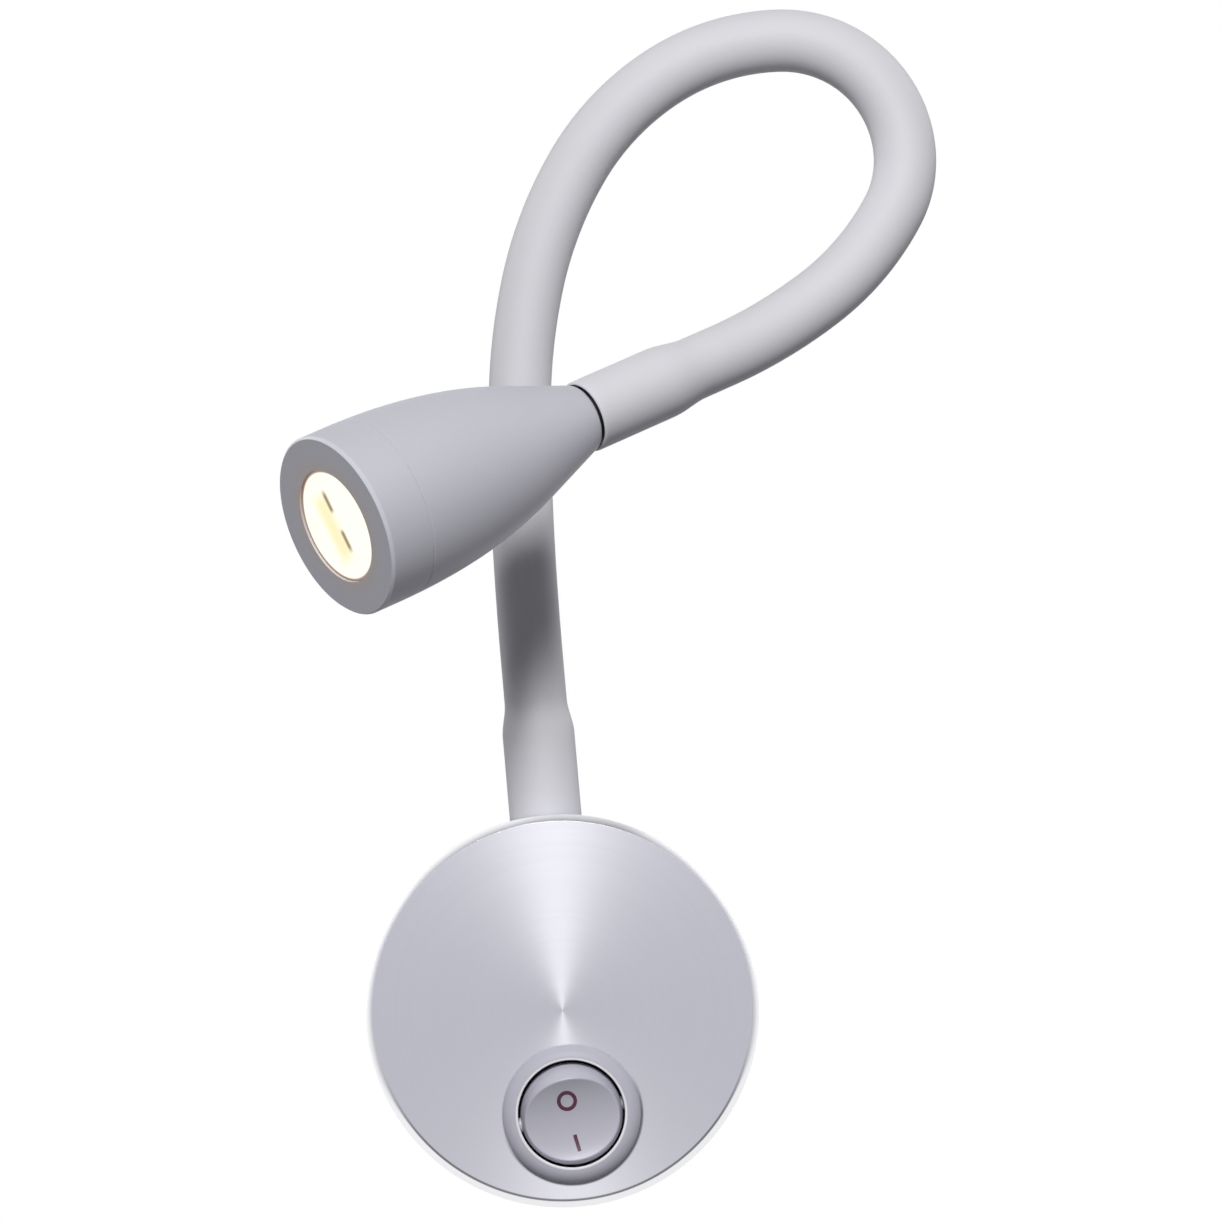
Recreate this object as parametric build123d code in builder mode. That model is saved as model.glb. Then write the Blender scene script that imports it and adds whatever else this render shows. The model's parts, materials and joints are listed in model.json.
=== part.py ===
from build123d import *
import os
from math import cos, radians, sin, sqrt

# Wall-mounted LED reading lamp with a gooseneck arm, in millimetres.
# The origin is the centre of the canopy's back, on the wall. +Z is up, +X is to the right
# for someone facing the wall, and the lamp stands out from the wall along -Y.

# Allowances
overrun = 5.0  # how far a cut runs past the face that it leaves by
fit_gap = 0.1  # between fixed pieces that fit into each other
thread_gap = 0.05  # between a screw or pin and its hole
joint_gap = 0.35  # between the links of the arm, and round the rocker

# Canopy
canopy_d = 65.4
canopy_depth = 28.0
canopy_wall = 1.6
canopy_front = 2.0
canopy_edge = 1.2
canopy_edge_round = 0.3
seat_d = 13.0  # flat on the rim that the arm stands on
seat_sink = 0.7
boss_d = 18.0
boss_depth = 2.8
set_screw_d = 3.0
set_screw_length = 4.5
set_screw_out = 7.0  # from the wall to the screw's axis
set_screw_sink = 0.4
set_screw_key = 1.5  # across the flats of its socket
set_screw_socket = 1.8

# Wall plate and what is fixed to it
plate_thick = 1.5
plate_gap = 0.4
tab_width = 10.0
tab_height = 11.0
slot_spacing = 40.0
slot_length = 8.0
slot_width = 4.4
inlet_rise = 14.0
inlet_d = 10.0
grommet_flange_d = 13.6
grommet_flange_thick = 1.5
grommet_bore_d = 7.0
earth_x = 13.0
earth_screw_d = 4.0
earth_head_d = 7.2
earth_head_thick = 2.4
block_length = 20.0
block_width = 10.0
block_height = 9.0
block_edge = 0.6
block_pitch = 9.0
block_screw_d = 3.6
block_screw_length = 4.5
block_screw_slot = 0.7
block_wire_d = 2.6
block_wire_out = 2.6  # from the plate to the wire holes

# LED driver, in a tray on the inside of the canopy's face
tray_length = 40.0
tray_width = 15.0
tray_depth = 12.5
tray_wall = 1.2
tray_ledge = 1.0
tray_gap = 2.5  # between the switch and the tray
board_thick = 1.5
board_sink = 0.8
transformer_length = 10.0
transformer_width = 9.0
transformer_height = 8.0
transformer_share = -0.22  # of the tray's length, from its middle
capacitor_d = 8.0
capacitor_length = 12.0
capacitor_share = 0.2

# Switch
switch_margin = 4.0  # from the bezel to the canopy's rim
switch_turn = 7.5  # degrees, anticlockwise from the front
switch_hole_d = 20.0
bezel_d = 23.0
bezel_rim = 0.5
bezel_height = 2.0
bezel_lip = 0.5
bezel_bulge = 0.35
bezel_round = 0.2
barrel_gap = 0.25
barrel_depth = 15.0
barrel_floor = 2.4
rocker_hole_d = 17.8
rocker_depth = 3.6  # from the bezel's lip to the pivot
rocker_tilt = 12.0  # degrees either way
rocker_below = 4.0
rocker_crown = 3.2  # height of the scoop's middle over the pivot
rocker_scoop_r = 15.0
rocker_round = 0.3
pivot_pin_d = 2.4
pivot_pin_bite = 0.5  # how far a pin reaches into the barrel
stem_d = 4.6
stem_length = 2.6
plunger_d = 2.8
plunger_length = 5.2
plunger_reach = 7.8  # from the pivot to the plunger's tip
lever_gap = 0.3  # under the plunger's tip, half way through the travel
lever_tilt = 6.0  # degrees either way
lever_length = 13.0
lever_width = 2.8
lever_thick = 0.5
contact_d = 2.4
contact_thick = 0.6
contact_inset = 1.4
blade_width = 4.75
blade_thick = 0.8
blade_out = 7.5  # beyond the barrel

# Arm
arm_length = 268.6  # from the canopy's seat to the back of the head
arm_out = 14.0  # from the wall to the arm's foot
foot_length = 27.6
neck_length = 30.0  # straight end at the head
arm_turns = (2, 3, 12, 18, 27, 32, 59, 60, 23, 15)  # degrees along each arc
arm_leans = (-13, -9, -3, -1, -1, -1, -6, -22, -27, -68)  # degrees round the arm
sleeve_d = 10.5
sleeve_wall = 0.9
sleeve_end_d = 12.1
sleeve_end_length = 15.5
sleeve_taper = 4.0
sleeve_lift = 0.8  # bare ferrule between the sleeve and the head
core_wall = 1.8
lead_d = 4.4
lead_spare = 1.5  # past the ferrule, at each end
ferrule_length = 17.0
ferrule_floor = 3.0
shank_d = 8.0
shank_proud = 1.2
shank_bore_d = 5.2
washer_d = 13.6
washer_thick = 0.8
nut_width = 12.0
nut_thick = 4.0

# Head
head_d = 30.6
head_length = 50.4
head_straight = 5.0
head_rear_d = 11.4
tail_d = 20.7  # where the straight tail ends
tail_length = 13.0
head_wall = 2.4
head_floor = 12.0
bezel_ring_length = 8.5
seam_chamfer = 0.2
head_chamfer = 0.35
head_rear_round = 0.6
slug_d = 23.4
slug_length = 6.5
slug_wire_d = 2.8
slug_wire_r = 6.5
pad_d = 19.6
pad_thick = 0.3
led_board_d = 20.0
led_board_thick = 1.6
led_side = 3.5
led_base = 1.0
led_dome_r = 1.5
led_screw_d = 2.2
led_screw_length = 7.0
led_screw_r = 7.4
led_head_d = 3.4
led_head_thick = 1.2
spigot_d = 23.4
spigot_length = 4.4
spigot_wall = 1.0
face_thick = 1.6
lens_d = 19.0  # what shows in the face
lens_sink = 0.4
lens_flange_d = 20.8
lens_flange_thick = 1.4
lens_shoulder_d = 19.6
lens_foot_d = 8.8
lens_cone_length = 8.2
lens_foot_gap = 1.7  # from the board to the lens
lens_well_d = 5.2
lens_well_depth = 2.8
gasket_thick = 0.6
holder_wall = 1.1

# Worked out from the sizes above
canopy_r = canopy_d / 2
canopy_bore_r = canopy_r - canopy_wall
seat_rise = canopy_r - seat_sink
switch_drop = canopy_r - switch_margin - bezel_d / 2
tray_rise = switch_hole_d / 2 + tray_gap + tray_width / 2 - switch_drop
sleeve_r = sleeve_d / 2
core_r = sleeve_r - sleeve_wall
core_bore_r = core_r - core_wall
lead_r = lead_d / 2
ferrule_r = sleeve_end_d / 2 - sleeve_wall
socket_r = sleeve_r + joint_gap
arm_arc = (arm_length - foot_length - neck_length) / len(arm_turns)

os.makedirs("parts", exist_ok=True)


def keep(piece, name):
    """Label a finished piece and write it to its own file."""
    piece.part.label = name
    export_step(piece.part, f"parts/{name}.step")


def side_of(station):
    """Plane through a station's axis, with x outwards and y along the axis."""
    return Plane(station.origin, x_dir=station.x_dir, z_dir=station.x_dir.cross(station.z_dir))


def axis_of(station):
    """Axis of a station."""
    return Axis(station.origin, station.z_dir)


def facing_back(station):
    """The same place, looked at the other way along the axis."""
    return Plane(station.origin, x_dir=station.x_dir, z_dir=-station.z_dir)


# Arm line: a straight foot, tangent arcs of one length, and a straight neck
def bend_axis(station, turn, lean):
    """Axis that an arc of the arm turns about."""
    side = station.x_dir.rotate(axis_of(station), lean)
    return Axis(station.origin + side * (arm_arc / radians(turn)), station.z_dir.cross(side))


def after_bend(station, bend, turn):
    """Station at the far end of an arc."""
    centre = bend.position
    return Plane(
        centre + (station.origin - centre).rotate(bend, turn),
        x_dir=station.x_dir.rotate(bend, turn),
        z_dir=station.z_dir.rotate(bend, turn),
    )


arm_foot = Plane((0, -arm_out, seat_rise), x_dir=(1, 0, 0), z_dir=(0, 0, 1))
stations = [arm_foot.offset(foot_length)]
bends = []
for arc_turn, arc_lean in zip(arm_turns, arm_leans):
    bends.append(bend_axis(stations[-1], arc_turn, arc_lean))
    stations.append(after_bend(stations[-1], bends[-1], arc_turn))
hinges = stations[::2]
head = stations[-1].offset(neck_length)
head_back = facing_back(head)

for number, hinge in enumerate(hinges, start=1):
    print("hinge", number, "at", hinge.origin, "across", hinge.x_dir, "out", hinge.y_dir)
print("head at", head.origin, "along", head.z_dir)


# Canopy
with BuildPart() as canopy_cavity:
    with BuildSketch(Plane.XZ.offset(-overrun)):
        Circle(canopy_bore_r)
    extrude(amount=overrun + canopy_depth - canopy_front)
    with BuildSketch(arm_foot.offset(-boss_depth)):
        Circle(boss_d / 2)
    extrude(amount=boss_depth + overrun, mode=Mode.SUBTRACT)

switch = Plane(
    (0, -canopy_depth, -switch_drop),
    x_dir=(cos(radians(switch_turn)), 0, sin(radians(switch_turn))),
    z_dir=(0, -1, 0),
)

with BuildPart() as canopy_shell:
    with BuildSketch(Plane.XZ):
        Circle(canopy_r)
    extrude(amount=canopy_depth)
    chamfer(canopy_shell.edges().sort_by(Axis.Y)[0], canopy_edge)
    rim_edges = canopy_shell.edges().filter_by(GeomType.CIRCLE).sort_by(Axis.Y)
    fillet(rim_edges[:2], canopy_edge_round)
    add(canopy_cavity.part, mode=Mode.SUBTRACT)
    with BuildSketch(arm_foot):
        Circle(seat_d / 2)
    extrude(amount=overrun, mode=Mode.SUBTRACT)
    with BuildSketch(arm_foot.offset(overrun)):
        Circle(shank_d / 2 + fit_gap)
    extrude(amount=-boss_depth - 2 * overrun, mode=Mode.SUBTRACT)
    with BuildSketch(switch.offset(overrun)):
        Circle(switch_hole_d / 2)
    extrude(amount=-canopy_front - 2 * overrun, mode=Mode.SUBTRACT)
    with BuildSketch(Plane.YZ):
        with Locations((-set_screw_out, 0)):
            Circle(set_screw_d / 2 + thread_gap)
    extrude(amount=canopy_d, both=True, mode=Mode.SUBTRACT)
keep(canopy_shell, "canopy_shell")

# Wall plate, with a bent tab at each side for the canopy's set screws
plate_r = canopy_bore_r - plate_gap
tab_outer = sqrt(plate_r**2 - (tab_width / 2) ** 2)

with BuildPart() as wall_plate:
    with BuildSketch(Plane.XZ):
        Circle(plate_r)
        with GridLocations(slot_spacing, 0, 2, 1):
            SlotOverall(slot_length, slot_width, mode=Mode.SUBTRACT)
        with Locations((0, inlet_rise)):
            Circle(inlet_d / 2 + fit_gap, mode=Mode.SUBTRACT)
        with Locations((earth_x, inlet_rise)):
            Circle(earth_screw_d / 2 + thread_gap, mode=Mode.SUBTRACT)
    extrude(amount=plate_thick)
    with BuildSketch(Plane.XZ):
        with GridLocations(2 * tab_outer - plate_thick, 0, 2, 1):
            Rectangle(plate_thick, tab_width)
    extrude(amount=tab_height)
    with BuildSketch(Plane.YZ):
        with Locations((-set_screw_out, 0)):
            Circle(set_screw_d / 2 + thread_gap)
    extrude(amount=canopy_d, both=True, mode=Mode.SUBTRACT)
keep(wall_plate, "wall_plate")

with BuildPart() as set_screws:
    with BuildSketch(Plane.YZ.offset(canopy_r - set_screw_sink - set_screw_length)):
        with Locations((-set_screw_out, 0)):
            Circle(set_screw_d / 2)
    extrude(amount=set_screw_length)
    with BuildSketch(Plane.YZ.offset(canopy_r - set_screw_sink)):
        with Locations((-set_screw_out, 0)):
            RegularPolygon(set_screw_key / 2, 6, major_radius=False)
    extrude(amount=-set_screw_socket, mode=Mode.SUBTRACT)
    mirror(about=Plane.YZ)
keep(set_screws, "set_screws")

with BuildPart() as cable_grommet:
    with BuildSketch(Plane.XZ):
        with Locations((0, inlet_rise)):
            Circle(inlet_d / 2)
    extrude(amount=plate_thick)
    with BuildSketch(Plane.XZ.offset(plate_thick)):
        with Locations((0, inlet_rise)):
            Circle(grommet_flange_d / 2)
    extrude(amount=grommet_flange_thick)
    with BuildSketch(Plane.XZ.offset(-overrun)):
        with Locations((0, inlet_rise)):
            Circle(grommet_bore_d / 2)
    extrude(amount=plate_thick + grommet_flange_thick + 2 * overrun, mode=Mode.SUBTRACT)
keep(cable_grommet, "cable_grommet")

with BuildPart() as earth_screw:
    with BuildSketch(Plane.XZ):
        with Locations((earth_x, inlet_rise)):
            Circle(earth_screw_d / 2)
    extrude(amount=plate_thick)
    with BuildSketch(Plane.XZ.offset(plate_thick)):
        with Locations((earth_x, inlet_rise)):
            Circle(earth_head_d / 2)
    extrude(amount=earth_head_thick)
keep(earth_screw, "earth_screw")

# Terminal block, with its screws facing the room and its wires passing up and down
with BuildPart() as terminal_block:
    with BuildSketch(Plane.XZ.offset(plate_thick)):
        Rectangle(block_length, block_width)
    extrude(amount=block_height)
    chamfer(terminal_block.edges().filter_by(Axis.Y), block_edge)
    with BuildSketch(Plane.XZ.offset(plate_thick + block_height)):
        with GridLocations(block_pitch, 0, 2, 1):
            Circle(block_screw_d / 2 + fit_gap)
    extrude(amount=-block_screw_length, mode=Mode.SUBTRACT)
    with BuildSketch(Plane.XY.offset(-block_width)):
        with Locations((0, -plate_thick - block_wire_out)):
            with GridLocations(block_pitch, 0, 2, 1):
                Circle(block_wire_d / 2)
    extrude(amount=2 * block_width, mode=Mode.SUBTRACT)
keep(terminal_block, "terminal_block")

with BuildPart() as terminal_screws:
    with BuildSketch(Plane.XZ.offset(plate_thick + block_height)):
        with GridLocations(block_pitch, 0, 2, 1):
            Circle(block_screw_d / 2)
    extrude(amount=-block_screw_length)
    with BuildSketch(Plane.XZ.offset(plate_thick + block_height)):
        with GridLocations(block_pitch, 0, 2, 1):
            Rectangle(block_screw_slot, block_screw_d)
    extrude(amount=-block_screw_slot, mode=Mode.SUBTRACT)
keep(terminal_screws, "terminal_screws")

# Driver tray, open towards the wall, with the board on a ledge inside it
tray_front = Plane.XZ.offset(canopy_depth - canopy_front)
tray_back = tray_front.offset(-tray_depth)
board_back = tray_back.offset(board_sink)
board_front = board_back.offset(board_thick)
board_length = tray_length - 2 * tray_wall
board_width = tray_width - 2 * tray_wall

with BuildPart() as driver_tray:
    with BuildSketch(tray_front):
        with Locations((0, tray_rise)):
            Rectangle(tray_length, tray_width)
    extrude(amount=-tray_depth)
    with BuildSketch(board_front):
        with Locations((0, tray_rise)):
            Rectangle(board_length, board_width)
    extrude(amount=-board_thick - board_sink - overrun, mode=Mode.SUBTRACT)
    with BuildSketch(board_front):
        with Locations((0, tray_rise)):
            Rectangle(board_length - 2 * tray_ledge, board_width - 2 * tray_ledge)
    extrude(amount=tray_depth - board_sink - board_thick - tray_wall, mode=Mode.SUBTRACT)
keep(driver_tray, "driver_tray")

with BuildPart() as driver_board:
    with BuildSketch(board_back):
        with Locations((0, tray_rise)):
            Rectangle(board_length - 2 * fit_gap, board_width - 2 * fit_gap)
    extrude(amount=board_thick)
keep(driver_board, "driver_board")

with BuildPart() as driver_transformer:
    with BuildSketch(board_front):
        with Locations((transformer_share * tray_length, tray_rise)):
            Rectangle(transformer_length, transformer_width)
    extrude(amount=transformer_height)
    chamfer(driver_transformer.faces().sort_by(Axis.Y)[0].edges(), board_sink)
keep(driver_transformer, "driver_transformer")

with BuildPart() as driver_capacitor:
    with BuildSketch(Plane.YZ.offset(capacitor_share * tray_length - capacitor_length / 2)):
        with Locations((board_front.origin.Y - capacitor_d / 2, tray_rise)):
            Circle(capacitor_d / 2)
    extrude(amount=capacitor_length)
keep(driver_capacitor, "driver_capacitor")

# Switch: a round barrel with a domed bezel, and a rocker turned from a ball
barrel_r = switch_hole_d / 2 - barrel_gap
rocker_hole_r = rocker_hole_d / 2
rocker_r = rocker_hole_r - joint_gap
well_floor = barrel_floor - barrel_depth
pivot_rise = bezel_height - rocker_depth
pivot = switch.offset(pivot_rise)
lever_rise = pivot_rise - plunger_reach - lever_gap - lever_thick / 2
contact_place = lever_length / 2 - contact_inset
blade_end = -barrel_depth - blade_out
common_top = lever_rise - lever_thick / 2 - fit_gap
lever_drop = contact_place * sin(radians(lever_tilt)) + lever_thick / 2 + contact_thick
live_top = lever_rise - lever_drop - lever_gap


def tipped(station, angle):
    """A switch plane tipped about the pivot's direction."""
    turn = Axis(station.origin, station.x_dir)
    return Plane(station.origin, x_dir=station.x_dir, z_dir=station.z_dir.rotate(turn, angle))


def across(station):
    """Plane square to the pivot's direction, with x up the switch and y out of it."""
    return Plane(station.origin, x_dir=station.y_dir, z_dir=station.x_dir)


with BuildPart() as switch_housing:
    with BuildSketch(side_of(switch)):
        with BuildLine():
            rim = (bezel_d / 2, bezel_rim)
            lip = (rocker_hole_r + bezel_lip, bezel_height)
            Polyline((0, -barrel_depth), (barrel_r, -barrel_depth), (barrel_r, 0), (bezel_d / 2, 0), rim)
            SagittaArc(rim, lip, -bezel_bulge)
            Polyline(
                lip,
                (rocker_hole_r, bezel_height),
                (rocker_hole_r, well_floor),
                (0, well_floor),
                (0, -barrel_depth),
            )
        make_face()
    revolve(axis=axis_of(switch))
    fillet(switch_housing.edges().filter_by(GeomType.CIRCLE).sort_by(axis_of(switch))[-2:], bezel_round)
    with BuildSketch(across(pivot)):
        Circle(pivot_pin_d / 2 + thread_gap)
    extrude(amount=switch_hole_d, both=True, mode=Mode.SUBTRACT)
    with BuildSketch(switch.offset(-barrel_depth - overrun)):
        Rectangle(blade_width + fit_gap, blade_thick + fit_gap)
        with Locations((0, contact_place)):
            Rectangle(blade_width + fit_gap, blade_thick + fit_gap)
    extrude(amount=barrel_floor + 2 * overrun, mode=Mode.SUBTRACT)
keep(switch_housing, "switch_housing")

rocker = tipped(pivot, rocker_tilt)
stem_end = rocker_below + stem_length

with BuildPart(rocker) as switch_rocker:
    Sphere(rocker_r)
    split(bisect_by=rocker.offset(-rocker_below), keep=Keep.TOP)
    with BuildSketch(across(rocker)):
        with Locations((0, rocker_crown + rocker_scoop_r)):
            Circle(rocker_scoop_r)
    extrude(amount=rocker_hole_d, both=True, mode=Mode.SUBTRACT)
    scoop = switch_rocker.faces().filter_by(GeomType.CYLINDER).sort_by(SortBy.AREA)[-1]
    fillet(scoop.edges(), rocker_round)
    with BuildSketch(rocker.offset(-stem_end)):
        Circle(stem_d / 2)
    extrude(amount=stem_length)
    with BuildSketch(rocker.offset(-stem_end - overrun)):
        Circle(plunger_d / 2 + fit_gap)
    extrude(amount=overrun + plunger_length - plunger_reach + stem_end + fit_gap, mode=Mode.SUBTRACT)
    with BuildSketch(across(rocker)):
        Circle(pivot_pin_d / 2)
    extrude(amount=rocker_hole_r + pivot_pin_bite, both=True)
keep(switch_rocker, "switch_rocker")

with BuildPart() as switch_plunger:
    with BuildSketch(rocker.offset(plunger_length - plunger_reach)):
        Circle(plunger_d / 2)
    extrude(amount=-plunger_length)
    fillet(switch_plunger.edges().sort_by(axis_of(rocker))[0], plunger_d / 2 - fit_gap)
keep(switch_plunger, "switch_plunger")

lever = tipped(switch.offset(lever_rise), -lever_tilt)

with BuildPart() as contact_lever:
    with BuildSketch(lever.offset(-lever_thick / 2)):
        Rectangle(lever_width, lever_length)
    extrude(amount=lever_thick)
    with BuildSketch(lever.offset(-lever_thick / 2)):
        with Locations((0, contact_place)):
            Circle(contact_d / 2)
    extrude(amount=-contact_thick)
keep(contact_lever, "contact_lever")

with BuildPart() as switch_terminals:
    with BuildSketch(switch.offset(common_top)):
        Rectangle(blade_width, blade_thick)
    extrude(amount=blade_end - common_top)
    with BuildSketch(switch.offset(live_top)):
        with Locations((0, contact_place)):
            Rectangle(blade_width, blade_thick)
    extrude(amount=blade_end - live_top)
keep(switch_terminals, "switch_terminals")


# Ends of the arm: a ferrule under the sleeve, held by a washer and a nut
def ferrule(foot, shank_length):
    """Stepped ferrule, with its barrel along the foot's axis and its shank behind it."""
    with BuildPart() as piece:
        with BuildSketch(foot):
            Circle(ferrule_r)
        extrude(amount=ferrule_length)
        with BuildSketch(foot.offset(ferrule_floor)):
            Circle(core_r + fit_gap)
        extrude(amount=ferrule_length, mode=Mode.SUBTRACT)
        with BuildSketch(foot):
            Circle(shank_d / 2)
        extrude(amount=-shank_length)
        with BuildSketch(foot.offset(-shank_length - overrun)):
            Circle(shank_bore_d / 2)
        extrude(amount=shank_length + ferrule_floor + 2 * overrun, mode=Mode.SUBTRACT)
    return piece


def washer(face):
    """Washer standing behind a face."""
    with BuildPart() as piece:
        with BuildSketch(face):
            Circle(washer_d / 2)
            Circle(shank_d / 2 + thread_gap, mode=Mode.SUBTRACT)
        extrude(amount=-washer_thick)
    return piece


def nut(face):
    """Hexagon nut standing behind a face."""
    with BuildPart() as piece:
        with BuildSketch(face):
            RegularPolygon(nut_width / 2, 6, major_radius=False)
            Circle(shank_d / 2 + thread_gap, mode=Mode.SUBTRACT)
        extrude(amount=-nut_thick)
    return piece


fixing_length = washer_thick + nut_thick + shank_proud
lower_seat = arm_foot.offset(-boss_depth)
upper_seat = head_back.offset(-head_floor)

keep(ferrule(arm_foot, boss_depth + fixing_length), "lower_ferrule")
keep(washer(lower_seat), "lower_washer")
keep(nut(lower_seat.offset(-washer_thick)), "lower_nut")
keep(ferrule(head_back, head_floor + fixing_length), "upper_ferrule")
keep(washer(upper_seat), "upper_washer")
keep(nut(upper_seat.offset(-washer_thick)), "upper_nut")


# Arm links: each starts as a ball that sits in the hollow end of the link before it
def nose(hinge, radius):
    """Ball end of a link, behind its hinge."""
    with BuildPart() as piece:
        with BuildSketch(hinge):
            Circle(radius)
        extrude(amount=-sleeve_r)
        with Locations(hinge):
            Sphere(sleeve_r, mode=Mode.INTERSECT)
    return piece.part


def hollow(hinge):
    """Ball that hollows the end of the link before a hinge."""
    with BuildPart(hinge) as piece:
        Sphere(socket_r)
    return piece.part


def rod(link, radius):
    """One round strand of a bent link, from its nose to its far hinge."""
    with BuildPart() as piece:
        add(nose(hinges[link], radius))
        for arc in (2 * link, 2 * link + 1):
            with BuildSketch(stations[arc]):
                Circle(radius)
            revolve(axis=bends[arc], revolution_arc=arm_turns[arc])
    return piece.part


def bent_link(link, radius, bore_radius):
    """Bent strand of an arm link, with its bore."""
    with BuildPart() as piece:
        add(rod(link, radius))
        if bore_radius:
            add(rod(link, bore_radius), mode=Mode.SUBTRACT)
        add(hollow(hinges[link + 1]), mode=Mode.SUBTRACT)
    return piece


def straight_strand(station, length, radius, bore_radius):
    """Straight strand from a station along its axis."""
    with BuildPart() as piece:
        with BuildSketch(station):
            Circle(radius)
            if bore_radius:
                Circle(bore_radius, mode=Mode.SUBTRACT)
        extrude(amount=length)
    return piece.part


def sleeve_end(foot, lift, length):
    """Straight end of the sleeve, wide over its ferrule."""
    ferrule_fit = ferrule_r + fit_gap
    ferrule_end = ferrule_length + fit_gap
    taper_end = sleeve_end_length + sleeve_taper
    with BuildPart() as piece:
        with BuildSketch(side_of(foot)):
            with BuildLine():
                Polyline(
                    (ferrule_fit, lift),
                    (sleeve_end_d / 2, lift),
                    (sleeve_end_d / 2, sleeve_end_length),
                    (sleeve_r, taper_end),
                    (sleeve_r, length),
                    (core_r, length),
                    (core_r, ferrule_end),
                    (ferrule_fit, ferrule_end),
                    close=True,
                )
            make_face()
        revolve(axis=axis_of(foot))
    return piece.part


strands = {
    "sleeve": (sleeve_r, core_r),
    "gooseneck": (core_r, core_bore_r),
    "lead": (lead_r, 0),
}
for link in range(len(hinges) - 1):
    for strand, (strand_r, strand_bore_r) in strands.items():
        keep(bent_link(link, strand_r, strand_bore_r), f"{strand}_{link + 1}")

with BuildPart() as sleeve_foot:
    add(sleeve_end(arm_foot, fit_gap, foot_length))
    add(hollow(hinges[0]), mode=Mode.SUBTRACT)
keep(sleeve_foot, "sleeve_foot")

with BuildPart() as sleeve_neck:
    add(sleeve_end(head_back, sleeve_lift, neck_length))
    add(nose(hinges[-1], sleeve_r))
    add(nose(hinges[-1], core_r), mode=Mode.SUBTRACT)
keep(sleeve_neck, "sleeve_neck")

core_start = ferrule_floor + fit_gap
with BuildPart() as gooseneck_foot:
    add(straight_strand(arm_foot.offset(core_start), foot_length - core_start, core_r, core_bore_r))
    add(hollow(hinges[0]), mode=Mode.SUBTRACT)
keep(gooseneck_foot, "gooseneck_foot")

with BuildPart() as gooseneck_neck:
    add(straight_strand(head_back.offset(core_start), neck_length - core_start, core_r, core_bore_r))
    add(nose(hinges[-1], core_r))
    add(nose(hinges[-1], core_bore_r), mode=Mode.SUBTRACT)
keep(gooseneck_neck, "gooseneck_neck")

lower_lead_start = -boss_depth - fixing_length - lead_spare
upper_lead_start = -head_floor - fixing_length - lead_spare
with BuildPart() as lead_foot:
    add(straight_strand(arm_foot.offset(lower_lead_start), foot_length - lower_lead_start, lead_r, 0))
    add(hollow(hinges[0]), mode=Mode.SUBTRACT)
keep(lead_foot, "lead_foot")

with BuildPart() as lead_neck:
    add(straight_strand(head_back.offset(upper_lead_start), neck_length - upper_lead_start, lead_r, 0))
    add(nose(hinges[-1], lead_r))
keep(lead_neck, "lead_neck")

# Head: a straight rim, a tangent curve and a straight tail, all turned about one axis
head_r = head_d / 2
head_rear_r = head_rear_d / 2
tail_r = tail_d / 2
tail_slope = (tail_r - head_rear_r) / tail_length
curve_corner = (head_r - head_rear_r) / tail_slope  # where the tail's line would meet the rim's
curve_end = head_length - head_straight
seam = head_length - bezel_ring_length
face_back = head_length - face_thick
head_side = side_of(head)
head_axis = axis_of(head)


def bullet(wall, start):
    """Solid of the head's outline, drawn in by a wall's thickness, from a place on its tail."""
    start_r = head_rear_r + tail_slope * start - wall
    tail_end = (tail_r - wall, tail_length)
    rim_start = (head_r - wall, curve_end)
    with BuildPart() as piece:
        with BuildSketch(head_side):
            with BuildLine():
                Polyline((0, start), (start_r, start), tail_end)
                Bezier(tail_end, (head_r - wall, curve_corner), rim_start)
                Polyline(rim_start, (head_r - wall, head_length), (0, head_length), (0, start))
            make_face()
        revolve(axis=head_axis)
    return piece.part


# Places in the head, from its face backwards: lens flange, lens, board, pad and heat slug
flange_end = face_back - gasket_thick
flange_start = flange_end - lens_flange_thick
lens_start = flange_start - lens_cone_length
board_end = lens_start - lens_foot_gap
board_start = board_end - led_board_thick
slug_end = board_start - pad_thick
slug_start = slug_end - slug_length

hollow_back = split(bullet(head_wall, head_floor), head.offset(slug_start), keep=Keep.BOTTOM)

with BuildPart() as head_shell:
    add(bullet(0, 0))
    split(bisect_by=head.offset(seam), keep=Keep.BOTTOM)
    fillet(head_shell.edges().sort_by(head_axis)[0], head_rear_round)
    chamfer(head_shell.edges().sort_by(head_axis)[-1], seam_chamfer)
    add(hollow_back, mode=Mode.SUBTRACT)
    with BuildSketch(head.offset(slug_start)):
        Circle(slug_d / 2 + fit_gap)
    extrude(amount=head_length, mode=Mode.SUBTRACT)
    with BuildSketch(head.offset(-overrun)):
        Circle(shank_d / 2 + fit_gap)
    extrude(amount=head_floor + 2 * overrun, mode=Mode.SUBTRACT)
keep(head_shell, "head_shell")

spigot_bore_r = spigot_d / 2 - spigot_wall

with BuildPart() as head_bezel:
    add(bullet(0, 0))
    split(bisect_by=head.offset(seam), keep=Keep.TOP)
    chamfer(head_bezel.edges().sort_by(head_axis)[0], seam_chamfer)
    chamfer(head_bezel.edges().sort_by(head_axis)[-1], head_chamfer)
    with BuildSketch(head.offset(seam - spigot_length)):
        Circle(spigot_d / 2)
    extrude(amount=spigot_length)
    with BuildSketch(head.offset(seam - spigot_length - overrun)):
        Circle(spigot_bore_r)
    extrude(amount=overrun + spigot_length + face_back - seam, mode=Mode.SUBTRACT)
    with BuildSketch(head.offset(face_back - overrun)):
        Circle(lens_d / 2 + fit_gap)
    extrude(amount=face_thick + 2 * overrun, mode=Mode.SUBTRACT)
keep(head_bezel, "head_bezel")

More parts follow.
